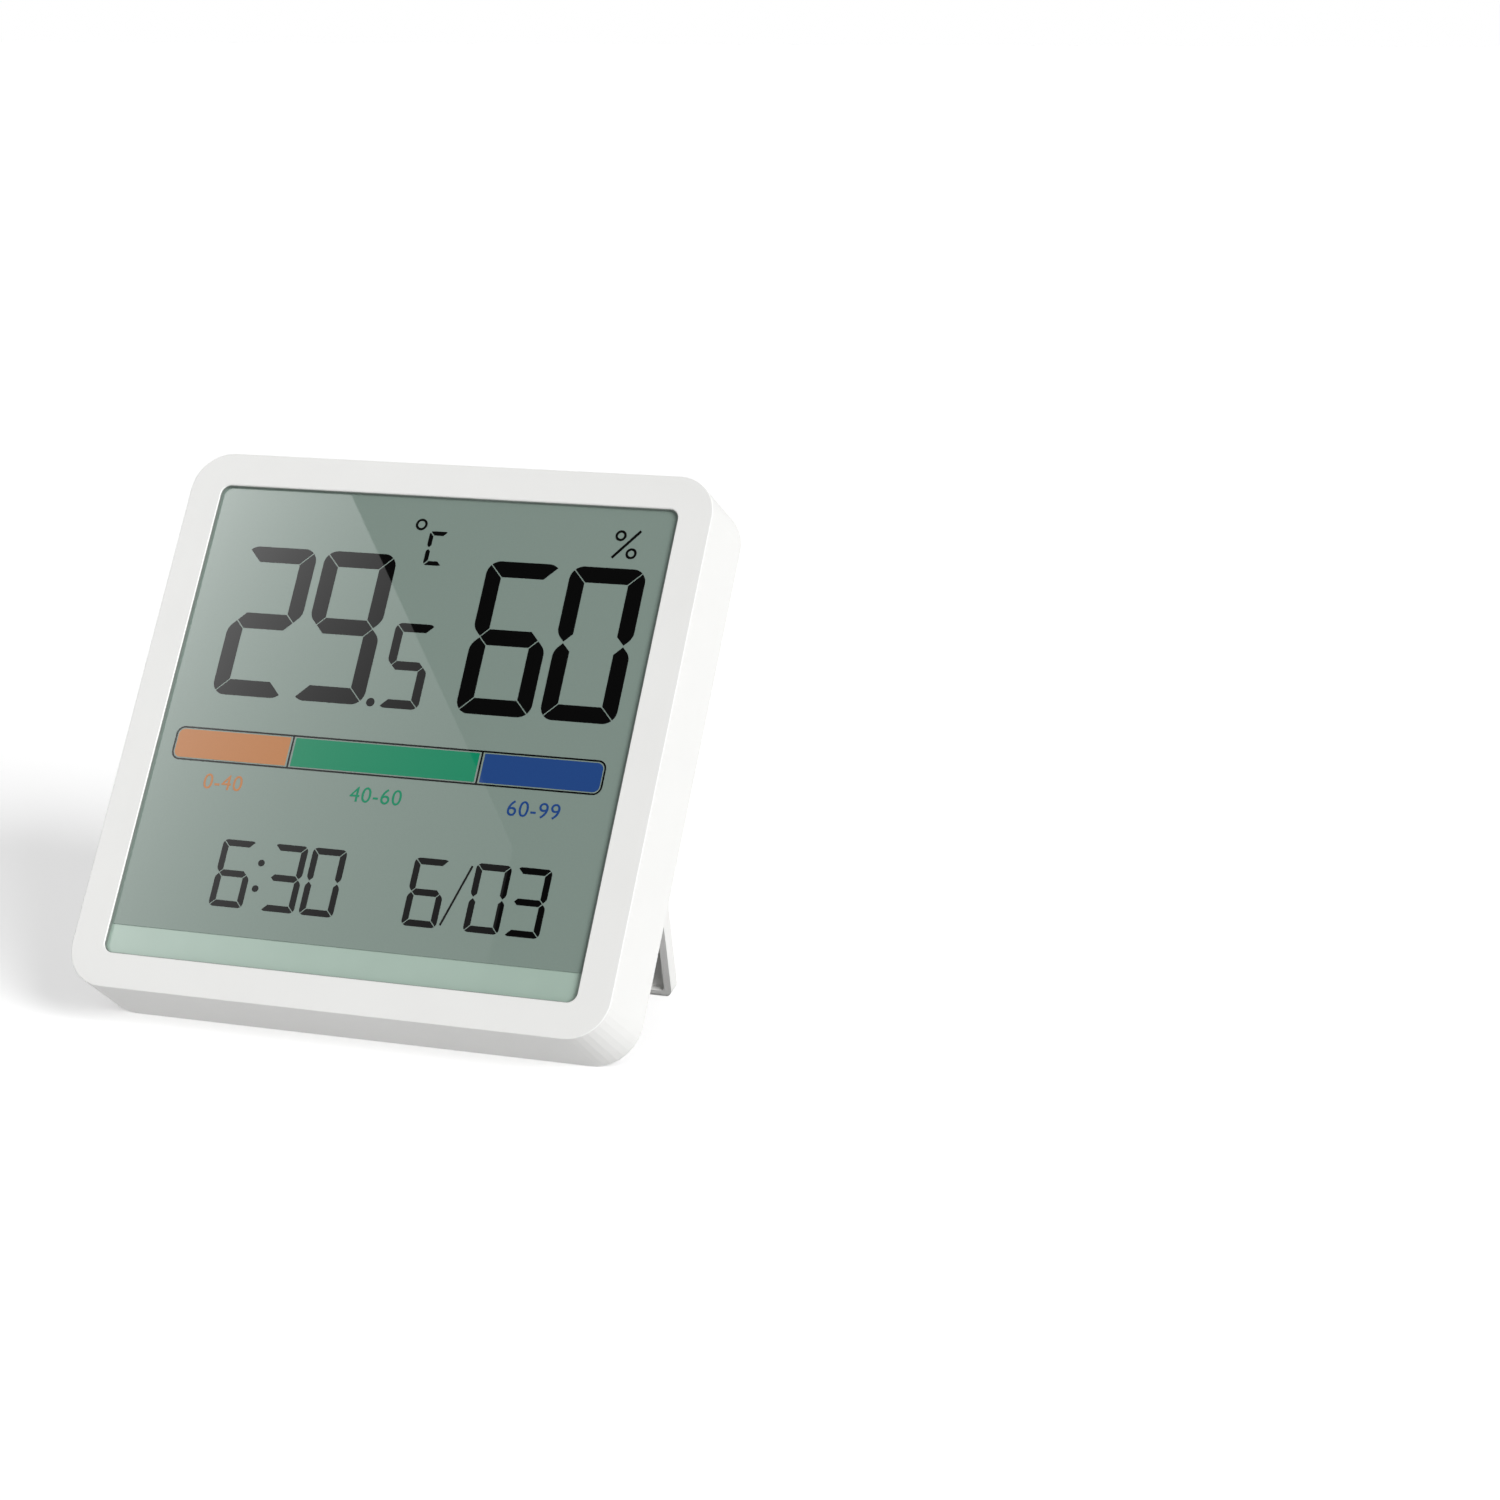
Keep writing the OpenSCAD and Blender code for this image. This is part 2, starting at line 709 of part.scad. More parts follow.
// Dished cap through the recess floor, with a flange below it and a stem on the plunger
module button(v) {
    // Radius of the sphere that cuts a dish of this depth and width
    half_w = button_r - dish_rim;
    dish_r = (half_w * half_w + button_dish * button_dish) / (2 * button_dish);
    color("gainsboro")
        placed()
            translate([button_u, v, 0])
                difference() {
                    union() {
                        translate([0, 0, plunger_top_d])
                            cylinder(h = flange_top_d - plunger_top_d, r = stem_r, $fn = round_fn);
                        translate([0, 0, flange_top_d - button_flange_t])
                            cylinder(h = button_flange_t, r = button_r + flange_reach, $fn = round_fn);
                        translate([0, 0, flange_top_d - button_flange_t])
                            cylinder(h = button_top_d - flange_top_d + button_flange_t, r = button_r,
                                $fn = round_fn);
                    }
                    translate([0, 0, button_top_d + dish_r - button_dish])
                        sphere(dish_r, $fn = round_fn);
                }
}

module set_button() { button(BUTTON_V[0]); }
module up_button() { button(BUTTON_V[1]); }
module down_button() { button(BUTTON_V[2]); }

// Conical spring under the cell
module negative_contact() {
    lift = cell_base_d - pcb_back;
    color("gold")
        placed()
            translate([0, cell_v, pcb_back])
                rotate_extrude($fn = round_fn)
                    polygon([[spring_base_r, 0], [spring_base_r + contact_t, 0],
                        [spring_top_r + contact_t, lift], [spring_top_r, lift]]);
}

// Upright strip against the cell's can, with a foot on the board
module positive_contact() {
    face_u = cell_r + contact_gap;
    color("gold")
        placed()
            translate([-face_u - contact_t, cell_v - contact_w / 2, pcb_back])
                union() {
                    cube([contact_t, contact_w, cell_top_d - cell_edge - pcb_back]);
                    translate([-contact_w, 0, 0])
                        cube([contact_w + contact_t, contact_w, contact_t]);
                }
}

// Ring around the cell, open where the positive contact passes
module cell_holder() {
    color("black")
        placed()
            translate([0, cell_v, pcb_back])
                difference() {
                    cylinder(h = cell_base_d + cell_t / 2 - pcb_back, r = holder_r + cell_wall,
                        $fn = round_fn);
                    translate([0, 0, -cut])
                        cylinder(h = cell_top_d, r = holder_r, $fn = round_fn);
                    translate([-holder_r - 2 * cell_wall, -contact_w / 2 - cell_gap, -cut])
                        cube([holder_r, contact_w + 2 * cell_gap, cell_top_d]);
                }
}

module coin_cell() {
    can = concat(
        [[0, 0], [cell_r - 2 * cell_edge, 0], [cell_r - 2 * cell_edge, cell_edge], [cell_r, cell_edge]],
        arc([cell_r - cell_edge, cell_t - cell_edge], cell_edge, 0, 90),
        [[0, cell_t]]);
    color("silver")
        placed()
            translate([0, cell_v, cell_base_d])
                rotate_extrude($fn = round_fn)
                    polygon(can);
}

// Ring sectors at both sides of the door, from angle to angle + span
module door_sectors(r0, r1, angle, span, d0, d1) {
    for (side = [0, 180])
        translate([0, cell_v, d0])
            rotate([0, 0, side + angle])
                rotate_extrude(angle = span, $fn = round_fn)
                    translate([r0, 0])
                        square([r1 - r0, d1 - d0]);
}

// Round door with a coin slot; its lugs lie under the recess floor until it is turned to the notches
module battery_door() {
    color("whitesmoke")
        placed()
            difference() {
                union() {
                    translate([0, cell_v, door_in_d])
                        cylinder(h = recess_d - door_in_d, r = door_r, $fn = round_fn);
                    door_sectors(door_r - lug_reach, door_r + lug_reach, -lug_angle / 2, lug_angle, door_in_d,
                        lug_top_d);
                }
                translate([0, cell_v, recess_d - coin_slot_d])
                    linear_extrude(coin_slot_d + cut)
                        slot_2d(coin_slot_len, coin_slot_w);
            }
}

// Outside of the cover: straight at the flange, then sloped up to the plateau
module cover_outside() {
    hull()
        at_corners(cover_w - 2 * cover_r, cover_h - 2 * cover_r)
            rotate_extrude($fn = hull_fn)
                polygon([[0, ledge_d], [cover_r, ledge_d], [cover_r, cover_edge_d],
                    [corner_r - bevel_w, back_d], [0, back_d]]);
}

// Hollow of the cover
module cover_inside() {
    reach = ceiling_inset - skirt_inset + ceiling_r;
    hull()
        at_corners(body_w - 2 * (ceiling_inset + ceiling_r), body_h - 2 * (ceiling_inset + ceiling_r))
            rotate_extrude($fn = hull_fn)
                polygon([[0, ledge_d - cut], [reach, ledge_d - cut], [reach, skirt_d],
                    [ceiling_r, cover_in_d], [0, cover_in_d]]);
}

// Walls and floor around the recess, reaching into the plateau's wall
module recess_tub() {
    top_v = hinge_v + trough_r + cover_wall;
    base = recess_base - cover_wall;
    translate([-recess_w / 2 - cover_wall, base, tub_d])
        cube([recess_w + 2 * cover_wall, top_v - base, back_d - cover_wall / 2 - tub_d]);
}

// Space of the closed stand, with a trough for its rolled edge
module recess_cut() {
    translate([0, hinge_v, recess_d])
        linear_extrude(stand_t + floor_gap + cut)
            difference() {
                translate([0, (recess_base - hinge_v) / 2 + recess_r])
                    rounded_rect(recess_w, hinge_v - recess_base + 2 * recess_r, recess_r);
                translate([-recess_w, 0])
                    square([2 * recess_w, 3 * recess_r]);
            }
    translate([-recess_w / 2, hinge_v, hinge_d])
        rotate([0, 90, 0])
            cylinder(h = recess_w, r = trough_r, $fn = round_fn);
}

// Corner marks of the pad area
module pad_marks() {
    translate([0, pad_v, back_d - mark_depth])
        linear_extrude(mark_depth + cut)
            intersection() {
                difference() {
                    rounded_rect(pad_w, pad_h, pad_r);
                    rounded_rect(pad_w - 2 * mark_line, pad_h - 2 * mark_line, pad_r - mark_line);
                }
                for (sx = [-1, 1], sy = [-1, 1])
                    translate([sx * (pad_w - mark_w) / 2, sy * (pad_h - mark_h) / 2])
                        square([mark_w, mark_h], center = true);
            }
}

// Ribs from the cover down to the board
module cover_ribs() {
    for (sx = [-1, 1], sy = [-1, 1])
        translate([sx * post_u, mid_v + sy * rib_offset, pcb_back])
            cylinder(h = cover_in_d + cover_wall / 2 - pcb_back, r = rib_r, $fn = round_fn);
}

module rear_cover() {
    color("whitesmoke")
        placed()
            difference() {
                union() {
                    difference() {
                        cover_outside();
                        cover_inside();
                    }
                    intersection() {
                        cover_outside();
                        recess_tub();
                    }
                    cover_ribs();
                    at_hooks() {
                        hook_catch(0);
                        translate([-hook_w / 2, hook_out - hook_t, hook_end_d])
                            cube([hook_w, hook_t, hook_reach + flange_t / 2]);
                    }
                }
                recess_cut();
                for (s = [-1, 1])
                    translate([s * (recess_w / 2 - cut), hinge_v, hinge_d])
                        rotate([0, s * 90, 0])
                            cylinder(h = cut + pin_in_cover + pin_gap, r = pin_r + pin_gap, $fn = round_fn);
                translate([0, cell_v, tub_d - cut])
                    cylinder(h = cover_wall + 2 * cut, r = door_r + door_gap, $fn = round_fn);
                door_sectors(door_r - lug_reach, door_r + lug_reach + lug_gap,
                    -lug_angle / 2 - notch_play - door_turn, lug_angle + 2 * notch_play,
                    tub_d - cut, recess_d + cut);
                for (v = BUTTON_V)
                    translate([button_u, v, tub_d - cut])
                        cylinder(h = cover_wall + 2 * cut, r = button_r + button_gap, $fn = round_fn);
                translate([0, back_slot_v, cover_in_d - cut])
                    linear_extrude(cover_wall + 2 * cut)
                        slot_2d(slot_len, slot_w);
                pad_marks();
            }
}

// Places a shape of the closed stand, drawn about the hinge axis, at the open stand
module opened() {
    translate([0, hinge_v, hinge_d])
        rotate([-stand_open, 0, 0])
            children();
}

// Long section of the stand with a round-edged foot, along x
module stand_section() {
    translate([-stand_w / 2, 0, 0])
        rotate([90, 0, 90])
            linear_extrude(stand_w) {
                translate([-foot_a, -stand_t / 2])
                    square([foot_a, stand_t]);
                translate([-stand_len, -foot_b])
                    square([stand_len, 2 * foot_b]);
                for (s = [-1, 1])
                    translate([-foot_a, s * foot_b])
                        circle(foot_edge_r, $fn = round_fn);
            }
}

module kickstand() {
    pocket_h = stand_len - pocket_rim - pocket_drop;
    color("whitesmoke")
        placed()
            opened()
                difference() {
                    union() {
                        intersection() {
                            stand_section();
                            plate(stand_w, 2 * stand_len, stand_corner_r, 0, -stand_t, stand_t);
                        }
                        translate([-stand_w / 2, 0, 0])
                            rotate([0, 90, 0])
                                cylinder(h = stand_w, r = stand_t / 2, $fn = round_fn);
                    }
                    plate(stand_w - 2 * pocket_rim, pocket_h, pocket_r, -pocket_drop - pocket_h / 2,
                        -stand_t / 2 - cut, pocket_d - stand_t / 2);
                    for (s = [-1, 1])
                        translate([s * (stand_w / 2 + cut), 0, 0])
                            rotate([0, -s * 90, 0])
                                cylinder(h = pin_in_stand + cut, r = pin_r, $fn = round_fn);
                    translate([0, -stand_len - notch_r + notch_h, -stand_t])
                        cylinder(h = 2 * stand_t, r = notch_r, $fn = 4 * round_fn);
                }
}

module hinge_pins() {
    color("silver")
        placed()
            opened()
                for (s = [-1, 1])
                    translate([s * (stand_w / 2 - pin_in_stand), 0, 0])
                        rotate([0, s * 90, 0])
                            cylinder(h = pin_in_stand + side_gap + pin_in_cover, r = pin_r, $fn = round_fn);
}

front_housing();
window_gasket();
lcd_front_polariser();
lcd_front_glass();
lcd_rear_glass();
lcd_reflector();
lcd_holder();
zebra_connector();
main_pcb();
pcb_screws();
sensor_chip();
sensor_baffle();
controller_blob();
clock_crystal();
chip_capacitors();
switch_bodies();
set_plunger();
up_plunger();
down_plunger();
set_button();
up_button();
down_button();
negative_contact();
positive_contact();
cell_holder();
coin_cell();
battery_door();
rear_cover();
kickstand();
hinge_pins();
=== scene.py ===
"""Looks of a square temperature and humidity display that leans on its folding stand.

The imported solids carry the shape. This script gives them their finishes, adds the marks of the liquid
crystal display, and sets up the studio and the camera. Sizes are in millimetres unless a comment says so.
"""
import json
import math

import bmesh
import bpy
from mathutils import Matrix, Quaternion, Vector


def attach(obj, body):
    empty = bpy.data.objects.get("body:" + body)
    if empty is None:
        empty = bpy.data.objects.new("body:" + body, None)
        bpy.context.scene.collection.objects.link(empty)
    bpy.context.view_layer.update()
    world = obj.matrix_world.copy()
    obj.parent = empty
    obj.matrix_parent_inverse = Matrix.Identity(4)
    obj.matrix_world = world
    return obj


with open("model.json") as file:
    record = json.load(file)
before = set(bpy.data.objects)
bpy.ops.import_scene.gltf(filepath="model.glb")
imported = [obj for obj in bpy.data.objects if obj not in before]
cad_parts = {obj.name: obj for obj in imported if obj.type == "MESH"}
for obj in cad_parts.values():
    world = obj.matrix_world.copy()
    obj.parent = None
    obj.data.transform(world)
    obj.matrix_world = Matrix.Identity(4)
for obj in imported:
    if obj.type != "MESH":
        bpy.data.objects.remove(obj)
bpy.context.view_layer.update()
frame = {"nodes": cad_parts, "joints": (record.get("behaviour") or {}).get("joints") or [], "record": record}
nodes = frame["nodes"]
scene = bpy.context.scene
MM = 0.001


# Frame of the display face

def joint_axis(name):
    """Direction of a joint's axis at rest."""
    return Vector(next(j["axis"] for j in frame["joints"] if j["name"] == name))


def span(node, axis):
    """Lowest and highest reach of a solid along an axis, in metres."""
    reach = [axis.dot(v.co) for v in nodes[node].data.vertices]
    return min(reach), max(reach)


RIGHT = Vector((1, 0, 0))
DEPTH = joint_axis("door_turn")
OUT = -DEPTH
UP = OUT.cross(RIGHT)
# Shift of the marks from the middle of the glass, to the right and up the face
LAYOUT_SHIFT = (0.207, -0.342)
glass_low, glass_high = span("lcd_front_glass", UP)
film_front = span("lcd_front_polariser", DEPTH)[0]
layout_height = (glass_low + glass_high) / 2 + LAYOUT_SHIFT[1] * MM
# Middle of the marks, on the front of the polariser
face_middle = RIGHT * LAYOUT_SHIFT[0] * MM + UP * layout_height + DEPTH * film_front
# Takes millimetres to the right, up the face and out of it to the row frame
FACE = Matrix.Translation(face_middle) @ Matrix((RIGHT, UP, OUT)).transposed().to_4x4() @ Matrix.Scale(MM, 4)


# Material helpers

# Most values of a noise lie between these
NOISE_LOW, NOISE_HIGH = 0.3, 0.7
LINES_LOW, LINES_HIGH = 0.25, 0.75


def srgb(red, green, blue):
    """Linear colour of an 8-bit screen colour."""
    def linear(value):
        share = value / 255
        return share / 12.92 if share <= 0.04045 else ((share + 0.055) / 1.055) ** 2.4
    return (linear(red), linear(green), linear(blue), 1.0)


def shaded(colour, factor):
    """The colour made lighter or darker by a factor."""
    return (colour[0] * factor, colour[1] * factor, colour[2] * factor, 1.0)


class Finish:
    """A Principled material whose patterns follow the object's own coordinates, in metres."""

    def __init__(self, name, **settings):
        self.material = bpy.data.materials.new(name)
        self.material.use_nodes = True
        self.tree = self.material.node_tree
        self.shader = self.tree.nodes["Principled BSDF"]
        self.place = self.tree.nodes.new("ShaderNodeTexCoord")
        for socket, value in settings.items():
            self.shader.inputs[socket.replace("_", " ")].default_value = value

    def link(self, source, target):
        self.tree.links.new(source, target)

    def stretched(self, scale):
        """The object's coordinates, stretched by a scale for each axis."""
        mapping = self.tree.nodes.new("ShaderNodeMapping")
        mapping.inputs["Scale"].default_value = scale
        self.link(self.place.outputs["Object"], mapping.inputs["Vector"])
        return mapping.outputs["Vector"]

    def noise(self, size, detail=2.0, stretch=None):
        """Noise with features of a size in millimetres."""
        noise = self.tree.nodes.new("ShaderNodeTexNoise")
        noise.inputs["Scale"].default_value = 1 / (size * MM)
        noise.inputs["Detail"].default_value = detail
        vector = self.stretched(stretch) if stretch else self.place.outputs["Object"]
        self.link(vector, noise.inputs["Vector"])
        return noise.outputs["Fac"]

    def cells(self, size, feature="F1"):
        """Voronoi cells of a size in millimetres."""
        cells = self.tree.nodes.new("ShaderNodeTexVoronoi")
        cells.feature = feature
        cells.inputs["Scale"].default_value = 1 / (size * MM)
        self.link(self.place.outputs["Object"], cells.inputs["Vector"])
        return cells.outputs["Distance"]

    def ramp(self, factor, stops):
        """Colour ramp of (position, colour) stops."""
        ramp = self.tree.nodes.new("ShaderNodeValToRGB")
        elements = ramp.color_ramp.elements
        elements[0].position, elements[0].color = stops[0]
        elements[1].position, elements[1].color = stops[-1]
        for position, colour in stops[1:-1]:
            elements.new(position).color = colour
        self.link(factor, ramp.inputs["Fac"])
        return ramp.outputs["Color"]

    def colour(self, factor, stops):
        self.link(self.ramp(factor, stops), self.shader.inputs["Base Color"])

    def mottle(self, colour, size, spread):
        """Base colour that wanders a little around one colour."""
        darker, lighter = shaded(colour, 1 - spread), shaded(colour, 1 + spread)
        self.colour(self.noise(size), [(NOISE_LOW, darker), (NOISE_HIGH, lighter)])

    def roughness(self, factor, low, high):
        limits = self.tree.nodes.new("ShaderNodeMapRange")
        limits.inputs["To Min"].default_value = low
        limits.inputs["To Max"].default_value = high
        self.link(factor, limits.inputs["Value"])
        self.link(limits.outputs["Result"], self.shader.inputs["Roughness"])

    def bump(self, height, depth, strength=1.0):
        """Relief of a depth in millimetres."""
        bump = self.tree.nodes.new("ShaderNodeBump")
        bump.inputs["Strength"].default_value = strength
        bump.inputs["Distance"].default_value = depth * MM
        self.link(height, bump.inputs["Height"])
        self.link(bump.outputs["Normal"], self.shader.inputs["Normal"])


# Finishes of the solids, with sizes and depths of their patterns in millimetres

ROUGH_SPREAD = 0.04


def moulded_plastic(name, colour, grain, depth, rough):
    """Moulded plastic with a fine grain and a slightly uneven gloss."""
    finish = Finish(name)
    finish.mottle(colour, size=9.0, spread=0.008)
    finish.roughness(finish.noise(size=2.5), low=rough - ROUGH_SPREAD, high=rough + ROUGH_SPREAD)
    finish.bump(finish.noise(grain, detail=3.0), depth, strength=0.6)
    return finish.material


def rubber(name, colour):
    finish = Finish(name)
    finish.mottle(colour, size=1.2, spread=0.08)
    finish.roughness(finish.noise(size=0.4), low=0.5, high=0.65)
    finish.bump(finish.noise(size=0.12), depth=0.006)
    return finish.material


def display_film(name, colour, specular):
    """Glossy film with the fine sparkle of the reflector behind it."""
    finish = Finish(name, Specular_IOR_Level=specular)
    finish.mottle(colour, size=0.16, spread=0.018)
    finish.roughness(finish.noise(size=20.0), low=0.0, high=0.02)
    return finish.material


def tinted_glass(name, colour):
    finish = Finish(name, Coat_Weight=0.3, Coat_Roughness=0.03)
    finish.mottle(colour, size=6.0, spread=0.02)
    finish.roughness(finish.noise(size=10.0), low=0.06, high=0.12)
    return finish.material


def metal(name, colour, stretch):
    """Rolled metal with its fine lines along one direction."""
    finish = Finish(name, Metallic=1.0)
    lines = finish.noise(size=0.2, detail=3.0, stretch=stretch)
    darker, lighter = shaded(colour, 0.9), shaded(colour, 1.08)
    finish.colour(lines, [(LINES_LOW, darker), (LINES_HIGH, lighter)])
    finish.roughness(lines, low=0.22, high=0.4)
    finish.bump(lines, depth=0.004, strength=0.5)
    return finish.material


def circuit_board(name):
    """Green solder mask over paler tracks."""
    mask, track = srgb(20, 92, 52), srgb(38, 122, 70)
    track_edge, mask_edge = 0.05, 0.09
    finish = Finish(name, Specular_IOR_Level=0.5)
    borders = finish.cells(size=2.4, feature="DISTANCE_TO_EDGE")
    finish.colour(borders, [(track_edge, track), (mask_edge, mask)])
    finish.roughness(finish.noise(size=1.0), low=0.3, high=0.45)
    finish.bump(finish.noise(size=0.3), depth=0.006)
    return finish.material


def open_foam(name, colour):
    finish = Finish(name, Roughness=0.95)
    pores = finish.cells(size=0.35)
    # Painted shade: the colour darkens to half towards the middle of each pore, where its hollow lies in
    # shade
    pore_shade_middle, pore_edge = 0.1, 0.6
    darker, lighter = shaded(colour, 0.5), shaded(colour, 1.1)
    finish.colour(pores, [(pore_shade_middle, darker), (pore_edge, lighter)])
    finish.bump(pores, depth=0.08)
    return finish.material


WHITE = srgb(243, 243, 241)
FILM = srgb(132, 148, 140)
FINISHES = {
    "white_plastic": moulded_plastic("white_plastic", WHITE, grain=0.22, depth=0.004, rough=0.42),
    "gasket_rubber": rubber("gasket_rubber", srgb(125, 134, 129)),
    "polariser_film": display_film("polariser_film", FILM, specular=0.5),
    "display_glass": tinted_glass("display_glass", srgb(171, 192, 180)),
    "reflector_film": metal("reflector_film", srgb(205, 210, 207), stretch=(1, 0.2, 1)),
    "holder_plastic": moulded_plastic(
        "holder_plastic", srgb(225, 225, 222), grain=0.3, depth=0.006, rough=0.5),
    "board_laminate": circuit_board("board_laminate"),
    "steel": metal("steel", srgb(200, 202, 204), stretch=(1, 0.15, 1)),
    "black_plastic": moulded_plastic(
        "black_plastic", srgb(38, 38, 40), grain=0.3, depth=0.008, rough=0.5),
    "foam": open_foam("foam", srgb(70, 70, 70)),
    "chip_ceramic": moulded_plastic(
        "chip_ceramic", srgb(168, 142, 108), grain=0.2, depth=0.005, rough=0.6),
    "button_plastic": moulded_plastic(
        "button_plastic", srgb(226, 226, 224), grain=0.25, depth=0.006, rough=0.45),
    "contact_brass": metal("contact_brass", srgb(214, 180, 104), stretch=(0.2, 1, 1)),
}
# The back has a stronger grain than the front
GRAINED = moulded_plastic("white_plastic_grained", WHITE, grain=0.3, depth=0.02, rough=0.55)
GRAINED_NODES = ("rear_cover", "kickstand", "battery_door")

for subpart in frame["record"]["subparts"]:
    solid = nodes[subpart["node"]]
    grained = subpart["node"] in GRAINED_NODES
    solid.data.materials.clear()
    solid.data.materials.append(GRAINED if grained else FINISHES[subpart["material_slot"]])


# Marks of the display, as thin plates on the polariser

# Heights of a plate's front and back over the polariser
PLATE_FRONT = 0.03
PLATE_BACK = -0.02
ARC_STEPS = 6
CIRCLE_STEPS = 32


def arc(centre, radius, start, end):
    """Points along an arc between two angles in degrees."""
    turns = [math.radians(start + (end - start) * i / ARC_STEPS) for i in range(ARC_STEPS + 1)]
    return [(centre[0] + radius * math.cos(a), centre[1] + radius * math.sin(a)) for a in turns]


def circle(centre, radius):
    turns = [math.tau * i / CIRCLE_STEPS for i in range(CIRCLE_STEPS)]
    return [(centre[0] + radius * math.cos(a), centre[1] + radius * math.sin(a)) for a in turns]


def rounded_box(left, low, right, high, radii):
    """Outline of a box with radii at its low right, high right, high left and low left corners."""
    corners = ((right, low), (right, high), (left, high), (left, low))
    inwards = ((-1, 1), (-1, -1), (1, -1), (1, 1))
    points = []
    for turn, ((x, y), (inward, upward), radius) in enumerate(zip(corners, inwards, radii)):
        points += arc((x + inward * radius, y + upward * radius), radius, 90 * turn - 90, 90 * turn)
    return points


def stroke(start, end, width):
    """Outline of a straight line of a width."""
    first, last = Vector(start), Vector(end)
    along = (last - first).normalized()
    side = Vector((-along.y, along.x)) * width / 2
    return [tuple(corner) for corner in (first + side, first - side, last - side, last + side)]


def plate(mesh, outline):
    """Adds a closed thin plate of an outline."""
    back = [mesh.verts.new((x, y, PLATE_BACK)) for x, y in outline]
    front = [mesh.verts.new((x, y, PLATE_FRONT)) for x, y in outline]
    mesh.faces.new(front)
    mesh.faces.new(reversed(back))
    for i in range(len(outline)):
        mesh.faces.new((back[i - 1], back[i], front[i], front[i - 1]))


def band(mesh, outer, inner):
    """Adds a closed thin plate between two outlines with as many points each."""
    edges = ((outer, PLATE_FRONT), (inner, PLATE_FRONT), (inner, PLATE_BACK), (outer, PLATE_BACK))
    rings = [[mesh.verts.new((x, y, z)) for x, y in outline] for outline, z in edges]
    for ring, following in zip(rings, rings[1:] + rings[:1]):
        for i in range(len(ring)):
            mesh.faces.new((ring[i - 1], ring[i], following[i], following[i - 1]))


def piece(name, mesh, material):
    """Turns a mesh drawn on the face into a named piece of the case."""
    bmesh.ops.recalc_face_normals(mesh, faces=mesh.faces)
    mesh.transform(FACE)
    data = bpy.data.meshes.new(name)
    mesh.to_mesh(data)
    mesh.free()
    data.materials.append(material)
    made = bpy.data.objects.new(name, data)
    scene.collection.objects.link(made)
    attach(made, "case")
    return made


# Seven-segment figures: width, height, stroke and the gap between segments
BIG = (11.55, 23.4, 2.43, 0.17)
TENTH = (6.38, 13.05, 1.33, 0.15)
CLOCK = (5.33, 9.95, 0.95, 0.15)
UNIT = (3.0, 5.34, 0.66, 0.2)
# Radius of a figure's outer corners, as a share of its stroke
CORNER = 0.85
# Segments of each figure: a on top, g in the middle, d below, f and b above, e and c below the middle
SEGMENTS = {
    "0": "abcdef", "2": "abdeg", "3": "abcdg", "5": "acdfg", "6": "acdefg", "9": "abcdfg", "C": "adef",
}


def segment(letter, size):
    """Outline of one segment in a box with its low left corner at the origin."""
    width, height, thick, gap = size
    radius = CORNER * thick
    middle = height / 2
    cut = gap / math.sqrt(2)
    cut_turn = math.degrees(gap / 2 / radius)
    corner = (radius, height - radius)
    if letter == "g":
        half = [(thick / 2 + cut, middle), (thick + cut, middle + thick / 2)]
        top = half + [(width - x, y) for x, y in reversed(half)]
        return top + [(x, height - y) for x, y in reversed(top[1:-1])]
    if letter in "ad":
        half = [(thick + cut, height - thick)] + arc(corner, radius, 135 - cut_turn, 90)
        outline = half + [(width - x, y) for x, y in reversed(half)]
    else:
        knee = (radius, middle + thick / 2 + cut + radius * math.tan(math.radians(22.5)))
        outline = arc(corner, radius, 180, 135 + cut_turn) + [(thick, height - thick - cut)]
        outline += [(thick, middle + thick / 2 + cut), (thick / 2, middle + cut)]
        outline += arc(knee, radius, 225, 180)
    if letter in "bc":
        outline = [(width - x, y) for x, y in outline]
    if letter in "cde":
        outline = [(x, height - y) for x, y in outline]
    return outline


def figure(mesh, character, left, low, size):
    """Adds a figure with the low left corner of its box at a place on the face."""
    for letter in SEGMENTS[character]:
        plate(mesh, [(left + x, low + y) for x, y in segment(letter, size)])


# Gloss of what is printed, less than that of the bare film
PRINT_SPECULAR = 0.32
INK = display_film("segment_black", srgb(12, 12, 12), PRINT_SPECULAR)

# Figures of each line with their left edges, and the lower edges of the lines
TEMPERATURE = (("2", -30.17), ("9", -17.3))
HUMIDITY = (("6", 8.65), ("0", 21.55))
TIME = (("6", -22.2), ("3", -14.06), ("0", -7.96))
DATE = (("6", 7.89), ("0", 17.27), ("3", 23.34))
BIG_LOW = 4.04
TENTH_LEFT, TENTH_LOW = -3.45, 3.94
CLOCK_LOW = -27.58
# Points and slashes
POINT_AT, POINT_RADIUS = (-4.64, 4.61), 0.65
COLON_ACROSS, COLON_HEIGHTS, COLON_RADIUS = -15.5, (-20.67, -24.48), 0.5
DATE_SLASH, DATE_SLASH_WIDTH = ((16.65, -18.15), (13.75, -27.06)), 0.3
# Signs of the units, with the outer and inner radius of their rings
DEGREE_AT, DEGREE_RADII = (-3.2, 32.42), (0.92, 0.56)
UNIT_LEFT, UNIT_LOW = -1.58, 26.13
PERCENT_AT, PERCENT_RADII = ((27.98, 32.47), (30.07, 29.8)), (0.84, 0.48)
PERCENT_SLASH, PERCENT_SLASH_WIDTH = ((30.88, 33.33), (27.27, 29.03)), 0.4

temperature = bmesh.new()
for character, left in TEMPERATURE:
    figure(temperature, character, left, BIG_LOW, BIG)
figure(temperature, "5", TENTH_LEFT, TENTH_LOW, TENTH)
plate(temperature, circle(POINT_AT, POINT_RADIUS))
piece("temperature_figures", temperature, INK)

humidity = bmesh.new()
for character, left in HUMIDITY:
    figure(humidity, character, left, BIG_LOW, BIG)
piece("humidity_figures", humidity, INK)

